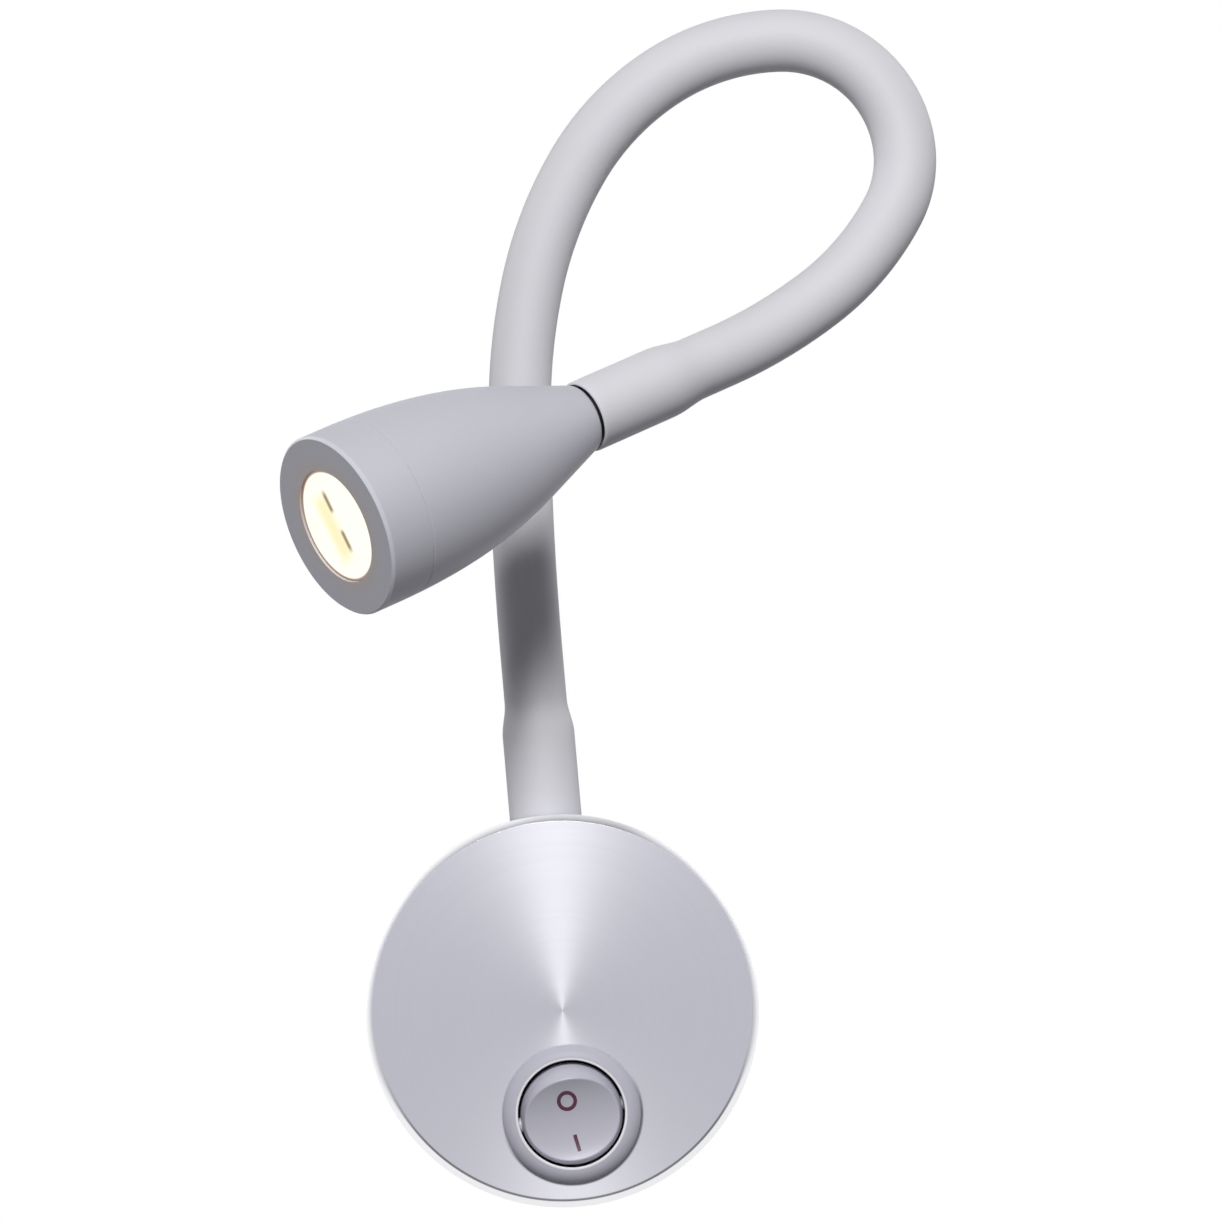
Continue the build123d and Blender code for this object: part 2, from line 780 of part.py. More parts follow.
# Light engine: slug, pad, board and emitter, then the holder, the lens and its gasket
screw_places = ((led_screw_r, 0), (-led_screw_r, 0))
wire_places = ((0, slug_wire_r), (0, -slug_wire_r))
screw_hole_r = led_screw_d / 2 + thread_gap

with BuildPart() as heat_slug:
    with BuildSketch(head.offset(slug_start)):
        Circle(slug_d / 2)
        with Locations(*screw_places):
            Circle(screw_hole_r, mode=Mode.SUBTRACT)
        with Locations(*wire_places):
            Circle(slug_wire_d / 2, mode=Mode.SUBTRACT)
    extrude(amount=slug_length)
keep(heat_slug, "heat_slug")

with BuildPart() as thermal_pad:
    with BuildSketch(head.offset(slug_end)):
        Circle(pad_d / 2)
        with Locations(*screw_places):
            Circle(screw_hole_r, mode=Mode.SUBTRACT)
        with Locations(*wire_places):
            Circle(slug_wire_d / 2, mode=Mode.SUBTRACT)
    extrude(amount=pad_thick)
keep(thermal_pad, "thermal_pad")

with BuildPart() as led_board:
    with BuildSketch(head.offset(board_start)):
        Circle(led_board_d / 2)
        with Locations(*screw_places):
            Circle(screw_hole_r, mode=Mode.SUBTRACT)
        with Locations(*wire_places):
            Circle(slug_wire_d / 2, mode=Mode.SUBTRACT)
    extrude(amount=led_board_thick)
keep(led_board, "led_board")

with BuildPart() as board_screws:
    with BuildSketch(head.offset(board_end)):
        with Locations(*screw_places):
            Circle(led_head_d / 2)
    extrude(amount=led_head_thick)
    with BuildSketch(head.offset(board_end)):
        with Locations(*screw_places):
            Circle(led_screw_d / 2)
    extrude(amount=-led_screw_length)
keep(board_screws, "board_screws")

with BuildPart() as led_emitter:
    with BuildSketch(head.offset(board_end)):
        Rectangle(led_side, led_side)
    extrude(amount=led_base)
    with BuildSketch(side_of(head.offset(board_end + led_base))):
        with BuildLine():
            Line((0, 0), (led_dome_r, 0))
            CenterArc((0, 0), led_dome_r, 0, 90)
            Line((0, led_dome_r), (0, 0))
        make_face()
    revolve(axis=head_axis)
keep(led_emitter, "led_emitter")

with BuildPart() as led_lens:
    with BuildSketch(head_side):
        with BuildLine():
            Polyline(
                (0, lens_start + lens_well_depth),
                (lens_well_d / 2, lens_start + lens_well_depth),
                (lens_well_d / 2, lens_start),
                (lens_foot_d / 2, lens_start),
                (lens_shoulder_d / 2, flange_start),
                (lens_flange_d / 2, flange_start),
                (lens_flange_d / 2, flange_end),
                (lens_d / 2, flange_end),
                (lens_d / 2, head_length - lens_sink),
                (0, head_length - lens_sink),
                close=True,
            )
        make_face()
    revolve(axis=head_axis)
keep(led_lens, "led_lens")

with BuildPart() as lens_gasket:
    with BuildSketch(head.offset(flange_end)):
        Circle(spigot_bore_r - fit_gap)
        Circle(lens_d / 2 + fit_gap, mode=Mode.SUBTRACT)
    extrude(amount=gasket_thick)
keep(lens_gasket, "lens_gasket")

holder_r = spigot_bore_r - fit_gap
holder_bore_r = holder_r - holder_wall
holder_bevel = lens_shoulder_d / 2 + fit_gap - holder_bore_r

with BuildPart() as lens_holder:
    with BuildSketch(head.offset(board_end)):
        Circle(holder_r)
        Circle(holder_bore_r, mode=Mode.SUBTRACT)
    extrude(amount=flange_start - board_end)
    inner_edge = lens_holder.edges().group_by(head_axis)[-1].sort_by(SortBy.RADIUS)[0]
    chamfer(inner_edge, 2 * holder_bevel, holder_bevel)
keep(lens_holder, "lens_holder")
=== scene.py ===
import json
from math import cos, pi, radians, sin

import bpy
from bpy.props import FloatProperty, FloatVectorProperty, IntProperty, PointerProperty
from bpy.types import Operator, Panel, PropertyGroup
from mathutils import Matrix, Vector


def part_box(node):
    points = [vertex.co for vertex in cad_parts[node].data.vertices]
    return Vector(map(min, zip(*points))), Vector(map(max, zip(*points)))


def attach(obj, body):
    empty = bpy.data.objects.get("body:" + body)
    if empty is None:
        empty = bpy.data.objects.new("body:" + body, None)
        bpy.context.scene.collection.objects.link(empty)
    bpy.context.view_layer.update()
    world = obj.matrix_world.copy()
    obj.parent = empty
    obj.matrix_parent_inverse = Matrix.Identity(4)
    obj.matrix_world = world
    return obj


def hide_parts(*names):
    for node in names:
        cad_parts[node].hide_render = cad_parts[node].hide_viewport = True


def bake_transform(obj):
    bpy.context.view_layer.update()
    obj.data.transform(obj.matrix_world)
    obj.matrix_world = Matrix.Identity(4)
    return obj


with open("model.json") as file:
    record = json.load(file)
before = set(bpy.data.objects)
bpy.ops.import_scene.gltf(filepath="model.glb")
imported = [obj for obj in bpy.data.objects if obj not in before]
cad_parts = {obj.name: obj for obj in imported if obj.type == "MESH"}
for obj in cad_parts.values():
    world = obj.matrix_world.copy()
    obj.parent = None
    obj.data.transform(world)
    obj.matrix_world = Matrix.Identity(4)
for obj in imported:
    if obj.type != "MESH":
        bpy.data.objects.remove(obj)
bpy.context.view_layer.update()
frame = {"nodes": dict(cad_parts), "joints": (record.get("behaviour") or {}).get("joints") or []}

bl_info = {
    "name": "Wall reading lamp",
    "version": (1, 0, 0),
    "blender": (4, 5, 0),
    "location": "View3D > Sidebar > Reading lamp",
    "description": "Dresses the packed gooseneck reading lamp and sets up its studio",
    "category": "Object",
}

JOINTS = {joint["name"]: joint for joint in frame["joints"]}
ARM_JOINTS = ("arm_sway_1", "arm_lean_2", "arm_sway_3", "arm_lean_4", "arm_sway_5", "head_lean_6")
LAST_BEND = len(ARM_JOINTS) - 1
MERGE_DISTANCE = 0.000001
SMOOTH_ANGLE = radians(40)


# Settings
def in_radians(*angles):
    """Angles written in degrees, in radians."""
    return tuple(radians(angle) for angle in angles)


def size(name, description, default):
    """A length in metres."""
    return FloatProperty(name=name, description=description, default=default, unit="LENGTH", precision=5)


def angle(name, description, degrees):
    """An angle, written here in degrees."""
    return FloatProperty(name=name, description=description, default=radians(degrees), unit="ROTATION")


def amount(name, description, default):
    """A number that is not below zero."""
    return FloatProperty(name=name, description=description, default=default, min=0)


def count(name, description, default):
    """A whole number."""
    return IntProperty(name=name, description=description, default=default, min=4)


def colour(name, description, *default):
    """A linear colour."""
    return FloatVectorProperty(
        name=name, description=description, default=default, subtype="COLOR", min=0, max=1
    )


def point(name, description, *default):
    """A point in metres."""
    return FloatVectorProperty(
        name=name, description=description, default=default, subtype="TRANSLATION", precision=5
    )


class ArmSizes(PropertyGroup):
    """Sizes of the gooseneck's sleeve and core."""

    arc_length: size("Arc length", "Length of each arc of the arm", 0.0211)
    turns: FloatVectorProperty(
        name="Turns",
        description="Angle of each arc, from the canopy to the head",
        size=10,
        unit="ROTATION",
        default=in_radians(2, 3, 12, 18, 27, 32, 59, 60, 23, 15),
    )
    leans: FloatVectorProperty(
        name="Leans",
        description="Direction in which each arc bends, round the arm",
        size=10,
        unit="ROTATION",
        default=in_radians(-13, -9, -3, -1, -1, -1, -6, -22, -27, -68),
    )
    neck_length: size("Neck length", "Straight end of the arm at the head", 0.030)
    radius: size("Radius", "Outside of the silicone sleeve", 0.00525)
    wall: size("Wall", "Thickness of the silicone", 0.0009)
    cuff_radius: size("Cuff radius", "Outside of the sleeve where it is stretched over a ferrule", 0.00605)
    foot_cuff: size("Foot cuff", "From the canopy to the taper of the lower cuff", 0.0145)
    foot_taper: size("Foot taper", "From the lower cuff to the plain sleeve", 0.0055)
    neck_cuff: size("Neck cuff", "From the head to the taper of the upper cuff", 0.0165)
    neck_taper: size("Neck taper", "From the upper cuff to the plain sleeve", 0.0072)
    cuff_lip: size("Cuff lip", "Rounding of the cuff's open end", 0.0004)
    neck_gap: size("Neck gap", "Bare ferrule between the cuff and the head", 0.0005)
    bend_reach: size("Bend reach", "How far the arm bends to each side of a hinge", 0.0115)
    core_gap: size("Core gap", "Between the sleeve and the wound core", 0.0001)
    core_wall: size("Core wall", "Thickness of the wound core", 0.0008)
    core_groove: size("Core groove", "Depth between the turns of the core", 0.0003)
    sides: count("Sides", "Points round the sleeve and the core", 64)
    sleeve_rings: count("Sleeve rings", "Rings along each arc of the sleeve", 30)
    core_rings: count("Core rings", "Rings along each arc of the core, an even number", 20)


class SwitchSizes(PropertyGroup):
    """Sizes of the switch, and of the marks on its rocker, which are measured from its pivot."""

    hole_radius: size("Hole radius", "Hole in the bezel round the rocker", 0.0089)
    ring_middle: point("Ring", "Middle of the ring", -0.00057, 0, 0.0022)
    ring_radius: size("Ring radius", "Outside of the ring", 0.00168)
    bar_top: point("Bar top", "Upper end of the bar", 0.00023, 0, -0.0035)
    bar_foot: point("Bar foot", "Lower end of the bar", 0.00082, 0, -0.0063)
    stroke: size("Stroke", "Width of the lines", 0.00062)
    film: size("Film", "Thickness of the print", 0.00004)


class Finishes(PropertyGroup):
    """Colours of the lamp's finishes."""

    aluminium: colour("Aluminium", "Spun canopy", 0.40, 0.40, 0.475)
    sheen: colour("Sheen", "Slopes of the canopy's rings", 0.48, 0.475, 0.475)
    # Bevel colour: partly the polished edge's own brightness, partly a painted reflection of the white
    # around it.
    bevel: colour("Bevel", "Polished edge of the canopy", 0.9, 0.9, 0.92)
    # Painted shadow: colour of the dark lines that stand in for shade under the canopy's face and under the
    # switch.
    shadow: colour("Shadow", "Lines under the canopy's face and the switch", 0.05, 0.05, 0.06)
    satin: colour("Satin coat", "Head", 0.535, 0.535, 0.59)
    # Painted light: warm glow of the lens painted on the head's face beside the lens.
    satin_warm: colour("Warm satin", "Face of the head beside the lit lens", 0.60, 0.51, 0.46)
    silicone: colour("Silicone", "Gooseneck sleeve", 0.69, 0.685, 0.72)
    switch: colour("Switch", "Switch housing and rocker", 0.525, 0.52, 0.595)
    ink: colour("Ink", "Marks on the rocker", 0.075, 0.007, 0.036)
    glow: colour("Glow", "Lit lens", 1.0, 0.97, 0.85)
    image: colour("Emitter's image", "Yellow band in the lens", 0.93, 0.82, 0.48)
    slit: colour("Slits", "Dark lines beside the emitter's image", 0.24, 0.17, 0.05)
    # Painted shadow: dark rim of the lens's glow that stands in for the shade of the bezel's recess wall.
    lens_rim: colour("Lens rim", "Edge of the lens", 0.28, 0.18, 0.12)
    glow_strength: amount("Glow strength", "Light of the lens", 1.0)


class StudioSettings(PropertyGroup):
    """Camera, floor and lights."""

    camera: point("Camera", "Where the camera stands", 0, -1.4, 0)
    target: point("Target", "Middle of the picture", 0.013815, -0.028, 0.065545)
    roll: angle("Roll", "Turn of the picture", 5)
    focal_length: amount("Focal length", "Camera lens, in millimetres", 242.8)
    floor_height: size("Floor height", "Below the canopy's middle", -0.22)
    floor_size: size("Floor size", "Side of the floor", 5.0)
    floor: colour("Floor", "Pale floor", 0.82, 0.82, 0.83)
    floor_white: amount("Floor white", "How far the camera sees the floor as plain white", 0.78)
    bounce: colour("Bounce", "What the floor throws back on the lamp", 0.16, 0.16, 0.165)
    key_distance: size("Key distance", "From the lamp to the main light", 1.3)
    key_height: angle("Key height", "Main light above the horizon", 31.5)
    key_side: angle("Key side", "Main light to the right of the front", 0.4)
    key_size: size("Key size", "Side of the main light", 0.28)
    key_power: amount("Key power", "Main light, in watts", 14.8)
    back_distance: size("Back distance", "From the lamp to the two lights behind it", 1.5)
    back_height: angle("Back height", "Lights behind the lamp above the horizon", 24)
    back_side: angle("Back side", "Lights behind the lamp, round from the front to each side", 122)
    back_size: size("Back size", "Side of each light behind the lamp", 0.8)
    back_power: amount("Back power", "Each light behind the lamp, in watts", 6.0)
    ambient: colour("Ambient", "Even light from all sides", 0.055, 0.055, 0.061)


class LampSettings(PropertyGroup):
    """All that the lamp's operators read."""

    arm: PointerProperty(type=ArmSizes)
    switch: PointerProperty(type=SwitchSizes)
    finishes: PointerProperty(type=Finishes)
    studio: PointerProperty(type=StudioSettings)


# Shader maths
class Socket:
    """A node's output, with operators that add Math nodes to its recipe."""

    def __init__(self, recipe, output):
        self.recipe = recipe
        self.output = output

    def maths(self, operation, *values):
        """A Math node."""
        return self.recipe.node("ShaderNodeMath", {"operation": operation}, dict(enumerate(values)))

    def __add__(self, other):
        return self.maths("ADD", self, other)

    def __sub__(self, other):
        return self.maths("SUBTRACT", self, other)

    def __rsub__(self, other):
        return self.maths("SUBTRACT", other, self)

    def __mul__(self, other):
        return self.maths("MULTIPLY", self, other)

    def __truediv__(self, other):
        return self.maths("DIVIDE", self, other)

    def __abs__(self):
        return self.maths("ABSOLUTE", self)

    def most(self, other):
        """The larger of two values."""
        return self.maths("MAXIMUM", self, other)

    __radd__ = __add__
    __rmul__ = __mul__


class Recipe:
    """The nodes of one finish, or of the world."""

    def __init__(self, tree):
        self.tree = tree

    def node(self, kind, settings=None, inputs=None, output=0):
        """Add a node, with its settings first and then its sockets, and give one of its outputs."""
        made = self.tree.nodes.new(kind)
        for name, value in (settings or {}).items():
            setattr(made, name, value)
        for name, value in (inputs or {}).items():
            self.feed(made.inputs[name], value)
        return Socket(self, made.outputs[output]) if made.outputs else None

    def feed(self, socket, value):
        """Link or set one input."""
        if isinstance(value, Socket):
            self.tree.links.new(value.output, socket)
        else:
            socket.default_value = value

    def place(self):
        """Where a point lies on its piece, in metres."""
        return self.node("ShaderNodeTexCoord", output="Object")

    def vector(self, operation, *values, output=0):
        """A Vector Math node."""
        return self.node("ShaderNodeVectorMath", {"operation": operation}, dict(enumerate(values)), output)

    def scaled(self, value, factor):
        """A vector times a number."""
        return self.node("ShaderNodeVectorMath", {"operation": "SCALE"}, {0: value, "Scale": factor})

    def length(self, value):
        """Length of a vector."""
        return self.vector("LENGTH", value, output="Value")

    def dot(self, one, other):
        """Dot product of two vectors."""
        return self.vector("DOT_PRODUCT", one, other, output="Value")

    def off_axis(self, offset, axis):
        """Distance of a point from an axis, from its offset to a point on it."""
        along = self.scaled(axis, self.dot(offset, axis))
        return self.length(self.vector("SUBTRACT", offset, along))

    def noise(self, where, scale, detail=2.0):
        """Soft noise from 0 to 1."""
        inputs = {"Vector": where, "Scale": scale, "Detail": detail}
        return self.node("ShaderNodeTexNoise", {}, inputs, "Fac")

    def steps(self, value, pitch):
        """A chance number from 0 to 1 for each step of a value."""
        step = value.maths("FLOOR", value / pitch)
        return self.node("ShaderNodeTexWhiteNoise", {"noise_dimensions": "1D"}, {"W": step}, "Value")

    def ramp(self, value, low, high, first=0.0, last=1.0):
        """A smooth step of a value between two places."""
        inputs = {"Value": value, "From Min": low, "From Max": high, "To Min": first, "To Max": last}
        return self.node("ShaderNodeMapRange", {"interpolation_type": "SMOOTHSTEP"}, inputs, "Result")

    def fall(self, value, low, high):
        """A smooth step down from 1 to 0 between two places."""
        return self.ramp(value, low, high, 1.0, 0.0)

    def mix(self, factor, one, other):
        """A mix of two colours."""
        inputs = {0: factor, 6: rgba(one), 7: rgba(other)}
        return self.node("ShaderNodeMix", {"data_type": "RGBA"}, inputs, 2)

    def bump(self, height, strength, distance):
        """Normals of a fine relief."""
        inputs = {"Height": height, "Strength": strength, "Distance": distance}
        return self.node("ShaderNodeBump", {}, inputs)


def rgba(value):
    """A colour with its alpha, or a socket as it is."""
    return value if isinstance(value, Socket) else (*value[:3], 1.0)


def shade(tone, factor):
    """A colour made lighter or darker."""
    return tuple(min(1.0, channel * factor) for channel in tone[:3])


class Finish(Recipe):
    """A material, which starts with one Principled shader."""

    def __init__(self, name, **constants):
        self.material = bpy.data.materials.new(name)
        self.material.use_nodes = True
        super().__init__(self.material.node_tree)
        self.shader = self.tree.nodes["Principled BSDF"]
        for socket, value in constants.items():
            self.set(socket.replace("_", " ").title().replace("Ior", "IOR"), value)

    def set(self, socket, value):
        """Set or link one of the shader's inputs."""
        self.feed(self.shader.inputs[socket], value)

    def blend(self, shares):
        """A mix of shaders by their shares."""
        (mixed, total), *others = shares
        for shader, share in others:
            total += share
            mixed = self.node("ShaderNodeMixShader", {}, {0: share / total, 1: mixed, 2: shader})
        return mixed

    def show(self, surface):
        """Let the material show a shader."""
        self.feed(self.tree.nodes["Material Output"].inputs["Surface"], surface)


# Finishes
def wear(finish, tone, spread, grain, strength, depth):
    """Give a finish a tone that wanders a little, and a fine grain."""
    where = finish.place()
    drift = finish.noise(where, scale=90.0, detail=3.0)
    finish.set("Base Color", finish.mix(drift, shade(tone, 1 - spread), shade(tone, 1 + spread)))
    finish.set("Normal", finish.bump(finish.noise(where, grain), strength, depth))
    return finish.material


def shadow_lines(finish, where, radius, below, face_radius):
    """Painted shadow: dark lines along the lower edge of the canopy's face and under the switch's bezel,
    only on the lower half, where shade falls under light from above.
    """
    low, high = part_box("switch_housing")
    upwards = (-0.4, 0, 1)
    lower_half = (0.003, -0.006)
    edge_width = (0.0001, 0.00028)
    bezel_width = (0.00025, 0.0006)
    from_switch = finish.vector("SUBTRACT", where, (low + high) / 2)
    from_bezel = finish.off_axis(from_switch, (0, 1, 0)) - (high.x - low.x) / 2
    under = finish.ramp(finish.dot(from_switch, upwards), *lower_half)
    edge_shadow = below * finish.fall(abs(radius - face_radius), *edge_width)
    return edge_shadow.most(under * finish.fall(from_bezel, *bezel_width))


def spun_aluminium(finishes):
    """Lathe-turned aluminium, whose hair-fine rings slope both ways and fan the light out across them."""
    low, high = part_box("canopy_shell")
    bevel_width = 0.0012
    bevel_back = low.y + bevel_width
    face_radius = (high.x - low.x) / 2 - bevel_width
    lower_part = (-0.006, -0.022)
    soft = 0.0002
    crisp = 0.00003
    narrowing = 0.8
    shadow_line_strength = 0.8
    ring_pitch = 0.00012
    ring_unevenness = 0.012
    ring_tone_spread = 0.015
    roughness = 0.32
    slope_shares = ((0.0, 0.7), (0.14, 0.1), (0.285, 0.03), (0.45, 0.02))

    finish = Finish("spun_aluminium")
    finish.tree.nodes.remove(finish.shader)
    where = finish.place()
    flat = finish.vector("MULTIPLY", where, (1, 0, 1))
    radius = finish.length(flat)
    depth = finish.dot(where, (0, 1, 0))
    below = finish.ramp(finish.dot(where, (0, 0, 1)), *lower_part)
    front = finish.fall(depth, bevel_back, bevel_back + soft)
    beyond = finish.ramp(radius, face_radius, face_radius + crisp)
    # Painted reflection: the bevel fades to pale outwards, over a band that narrows towards the bottom.
    painted_rim_width = bevel_width * (1 - narrowing * below)
    pale = front * finish.ramp(radius, face_radius - soft, face_radius + painted_rim_width)
    rings = finish.steps(radius + depth, ring_pitch) - 0.5

    # Painted shadow lines, laid over both the flat and the sloped tones.
    lines = shadow_line_strength * shadow_lines(finish, where, radius, below, face_radius)
    dark_ring = shade(finishes.aluminium, 1 - ring_tone_spread)
    light_ring = shade(finishes.aluminium, 1 + ring_tone_spread)
    spun = finish.mix(rings + 0.5, dark_ring, light_ring)
    flat_tone = finish.mix(lines, finish.mix(pale, spun, finishes.bevel), finishes.shadow)
    sloped_tone = finish.mix(lines, finish.mix(pale, finishes.sheen, finishes.bevel), finishes.shadow)

    crest = front * (1 - beyond)
    shaped = finish.node("ShaderNodeNewGeometry", output="Normal")
    level = finish.scaled((0, -1, 0), crest)
    normal = finish.vector("NORMALIZE", finish.vector("ADD", finish.scaled(shaped, 1 - crest), level))
    along_ring = finish.vector("CROSS_PRODUCT", (0, 1, 0), finish.vector("NORMALIZE", flat))
    across_ring = finish.vector("CROSS_PRODUCT", normal, along_ring)
    turned = 1 - front * beyond
    lobes = []
    for slope, share in slope_shares:
        leans = (-slope, slope) if slope else (0.0,)
        for lean in leans:
            tilt = finish.scaled(across_ring, turned * (lean + ring_unevenness * rings))
            sockets = {
                "Base Color": sloped_tone if slope else flat_tone,
                "Metallic": 1.0,
                "Roughness": roughness,
                "Normal": finish.vector("NORMALIZE", finish.vector("ADD", normal, tilt)),
            }
            lobes.append((finish.node("ShaderNodeBsdfPrincipled", {}, sockets), share))
    finish.show(finish.blend(lobes))
    return finish.material


def satin_coat(finishes, face, axis, lens_radius, head_radius):
    """Fine satin coat of the head, with painted light on its face: a warm painted glow of the lens beside
    it, and a lighter ring along the edge that is partly a painted highlight.
    """
    face_depth = (-0.0008, -0.0003)
    glow_width = 0.0032
    glow_paint_share = 0.55
    edge_start = head_radius - 0.0005
    edge_end = head_radius - 0.0003
    edge_highlight_and_wear = 0.6
    finish = Finish("satin_coat", metallic=0.05, specular_ior_level=0.3)
    where = finish.place()
    offset = finish.vector("SUBTRACT", where, face)
    radius = finish.off_axis(offset, axis)
    front = finish.ramp(finish.dot(offset, axis), *face_depth)
    # Painted light: a warm pool beside the lens stands in for the lens's glow on the face.
    lit = front * finish.fall(radius, lens_radius, lens_radius + glow_width)
    # Lighter ring along the face's edge: partly edge wear, partly a painted highlight of the chamfer.
    edge = front * finish.ramp(radius, edge_start, edge_end)
    flake = finish.noise(where, scale=3500.0)
    coat = finish.mix(flake, shade(finishes.satin, 0.95), shade(finishes.satin, 1.05))
    coat = finish.mix(glow_paint_share * lit, coat, finishes.satin_warm)
    finish.set("Base Color", finish.mix(edge_highlight_and_wear * edge, coat, shade(finishes.satin, 1.4)))
    finish.set("Roughness", 0.46 + 0.1 * finish.noise(where, scale=1500.0))
    finish.set("Normal", finish.bump(flake, strength=0.2, distance=0.00002))
    return finish.material


def soft_silicone(finishes):
    """Matt silicone with a powdery grain."""
    finish = Finish("silicone", roughness=0.6, specular_ior_level=0.25)
    return wear(finish, finishes.silicone, spread=0.015, grain=2600.0, strength=0.2, depth=0.00004)


def moulded(name, tone, roughness=0.45):
    """Moulded plastic, rubber or board."""
    finish = Finish(name, roughness=roughness)
    return wear(finish, tone, spread=0.04, grain=1800.0, strength=0.12, depth=0.00003)


def switch_bezel(finishes, hole_radius):
    """Moulded bezel with a bright lip round the rocker, which is a painted highlight."""
    low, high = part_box("switch_housing")
    lip_start = hole_radius + 0.00025
    lip_end = hole_radius + 0.0005
    painted_lip_highlight = (0.95, 0.95, 0.97)
    lip_highlight_share = 0.8
    finish = Finish("switch_bezel", roughness=0.45, specular_ior_level=0.25)
    where = finish.place()
    offset = finish.vector("SUBTRACT", where, (low + high) / 2)
    lip = finish.fall(finish.off_axis(offset, (0, 1, 0)), lip_start, lip_end)
    drift = finish.noise(where, scale=120.0, detail=3.0)
    nylon = finish.mix(drift, shade(finishes.switch, 0.95), shade(finishes.switch, 1.01))
    grain = finish.noise(where, scale=1800.0)
    # Painted highlight: the bezel's inner lip is made near white.
    finish.set("Base Color", finish.mix(lip_highlight_share * lip, nylon, painted_lip_highlight))
    finish.set("Normal", finish.bump(grain, strength=0.12, distance=0.00003))
    return finish.material


def plated(name, tone, roughness=0.3):
    """Plated or bare metal with a faint spangle."""
    finish = Finish(name, metallic=1.0)
    where = finish.place()
    spangle = finish.noise(where, scale=700.0, detail=3.0)
    finish.set("Base Color", finish.mix(spangle, shade(tone, 0.88), tone))
    finish.set("Roughness", roughness + 0.12 * finish.noise(where, scale=260.0))
    finish.set("Normal", finish.bump(spangle, strength=0.1, distance=0.00002))
    return finish.material


def lit_lens(finishes, face, axis, radius):
    """Lens lit from behind, with the emitter's image in it as a yellow band beside two dark slits."""
    slits_along = -0.0006
    slits_across = 0.0005
    slit_start = (0.0012, 0.0022)
    slit_end = (0.0044, 0.006)
    slit_half_width = (0.0001, 0.0009)
    band_across = -0.0016
    band_half_length = (0.004, 0.0072)
    band_half_width = (0.0003, 0.0036)
    rim_start = radius - 0.0005
    rim_end = radius - 0.0002
    unlit_glass = (0.04, 0.04, 0.035)
    finish = Finish("lit_lens", roughness=0.15, emission_strength=finishes.glow_strength)
    offset = finish.vector("SUBTRACT", finish.place(), face)
    lengthways = Vector((-axis.z, 0, axis.x)).normalized()
    along = finish.dot(offset, lengthways)
    across = finish.dot(offset, axis.cross(lengthways))
    reach = abs(along - slits_along)
    ends = finish.ramp(reach, *slit_start) * finish.fall(reach, *slit_end)
    slits = ends * finish.fall(abs(across - slits_across), *slit_half_width)
    beside = finish.fall(abs(across - band_across), *band_half_width)
    band = finish.fall(abs(along), *band_half_length) * beside
    haze = finish.ramp(finish.noise(offset, scale=420.0), 0.5, 0.8, first=0.0, last=0.35)
    glow = finish.mix(haze, finishes.glow, finishes.image)
    image = finish.mix(slits, finish.mix(band, glow, finishes.image), finishes.slit)
    # Painted shadow: the glow darkens at the lens's rim, standing in for the recess wall's shade.
    rim = finish.ramp(finish.off_axis(offset, axis), rim_start, rim_end)
    finish.set("Base Color", rgba(unlit_glass))
    finish.set("Emission Color", finish.mix(rim, image, finishes.lens_rim))
    return finish.material


# Modelling
def start_clean():
    """Leave edit mode and deselect everything."""
    if bpy.context.mode != "OBJECT":
        bpy.ops.object.mode_set(mode="OBJECT")
    bpy.ops.object.select_all(action="DESELECT")


def settle(piece, name, material):
    """Name a new piece, put its place into its mesh and give it its material."""
    piece.name = name
    piece.data.name = name
    bpy.ops.object.transform_apply(location=True, rotation=True, scale=True)
    piece.data.materials.clear()
    piece.data.materials.append(material)


def finish_with(piece, kind, **settings):
    """Add a modifier, set it and apply it."""
    modifier = piece.modifiers.new(kind.title(), kind)
    for name, value in settings.items():
        setattr(modifier, name, value)
    bpy.ops.object.modifier_apply(modifier=modifier.name)


def dress(material, *nodes):
    """Give CAD nodes a material."""
    for node in nodes:
        mesh = frame["nodes"][node].data
        mesh.materials.clear()
        mesh.materials.append(material)


# The arm's line
def along_axis(station, distance):
    """Station moved along its own axis."""
    return station @ Matrix.Translation((0, 0, distance))


def arm_foot():
    """Station where the sleeve stands on the canopy, with z along the arm."""
    low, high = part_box("sleeve_foot")
    return Matrix.Translation(((low.x + high.x) / 2, (low.y + high.y) / 2, low.z))


def arm_line(arm):
    """Stations at the ends of the arm's arcs, and each arc's centre and axis."""
    stations = [Matrix.Translation(JOINTS[ARM_JOINTS[0]]["pos_m"])]
    bends = []
    for turn, lean in zip(arm.turns, arm.leans):
        turned = stations[-1].to_3x3()
        side = turned @ Vector((cos(lean), sin(lean), 0))
        axis = (turned @ Vector((0, 0, 1))).cross(side)
        centre = stations[-1].translation + side * (arm.arc_length / turn)
        swing = Matrix.Translation(centre) @ Matrix.Rotation(turn, 4, axis) @ Matrix.Translation(-centre)
        bends.append((centre, axis))
        stations.append(swing @ stations[-1])
    return stations, bends


def check_line(stations):
    """Stop if the arm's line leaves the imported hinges."""
    slack = 0.00001
    for station, name in zip(stations[::2], ARM_JOINTS):
        miss = (station.translation - Vector(JOINTS[name]["pos_m"])).length
        if miss > slack:
            raise RuntimeError(f"the sleeve misses {name} by {miss * 1000:.3f} mm")


def reach_along(node, station):
    """How far a CAD node reaches along a station's axis."""
    inwards = station.inverted()
    return max((inwards @ corner.co).z for corner in frame["nodes"][node].data.vertices)


def foot_length():
    """Length of the straight end of the arm at the canopy."""
    return (Vector(JOINTS[ARM_JOINTS[0]]["pos_m"]) - arm_foot().translation).length


